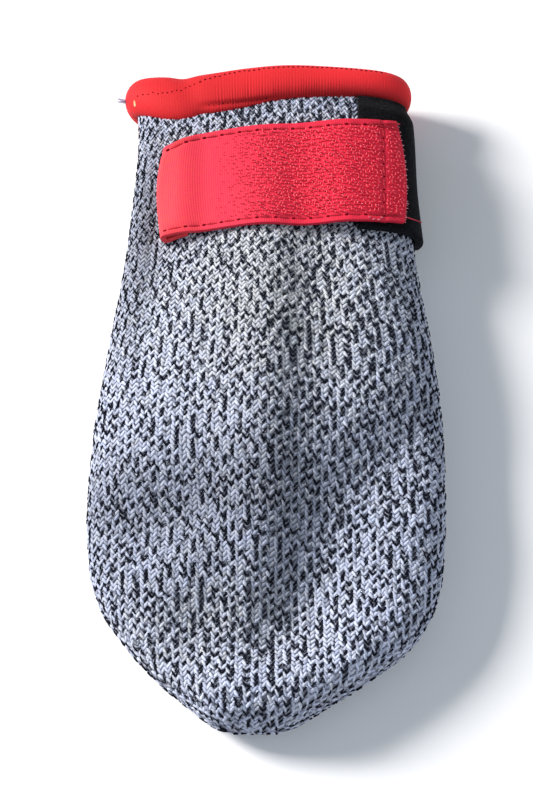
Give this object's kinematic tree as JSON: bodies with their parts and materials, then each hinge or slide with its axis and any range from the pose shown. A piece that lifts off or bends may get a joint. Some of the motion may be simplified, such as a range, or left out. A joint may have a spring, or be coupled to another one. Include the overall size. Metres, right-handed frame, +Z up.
{
  "type": "dog sock",
  "caption": "Hollow knitted pouch for a dog's paw with a rolled overlocked cuff, a hook tape sewn across the front and a soft closing tab round the side.",
  "frame": {"origin": "on the floor under the middle of the sock's length and width", "axes": "+Y towards the open collar, -Y towards the toe, +Z up from the floor to the front of the sock"},
  "size_m": [0.0711, 0.144, 0.0221],
  "materials": {
    "knit": "plain knit of pale grey yarn marled with black",
    "cuff": "red overlocked edge, fine thread ribs",
    "hook_tape": "red woven hook tape with sewn edges",
    "tab": "soft black napped cloth on thin foam"
  },
  "bodies": {
    "root": {"knit_body": "knit", "cuff": "cuff", "strap": "hook_tape", "tab": "tab"}
  },
  "joints": []
}
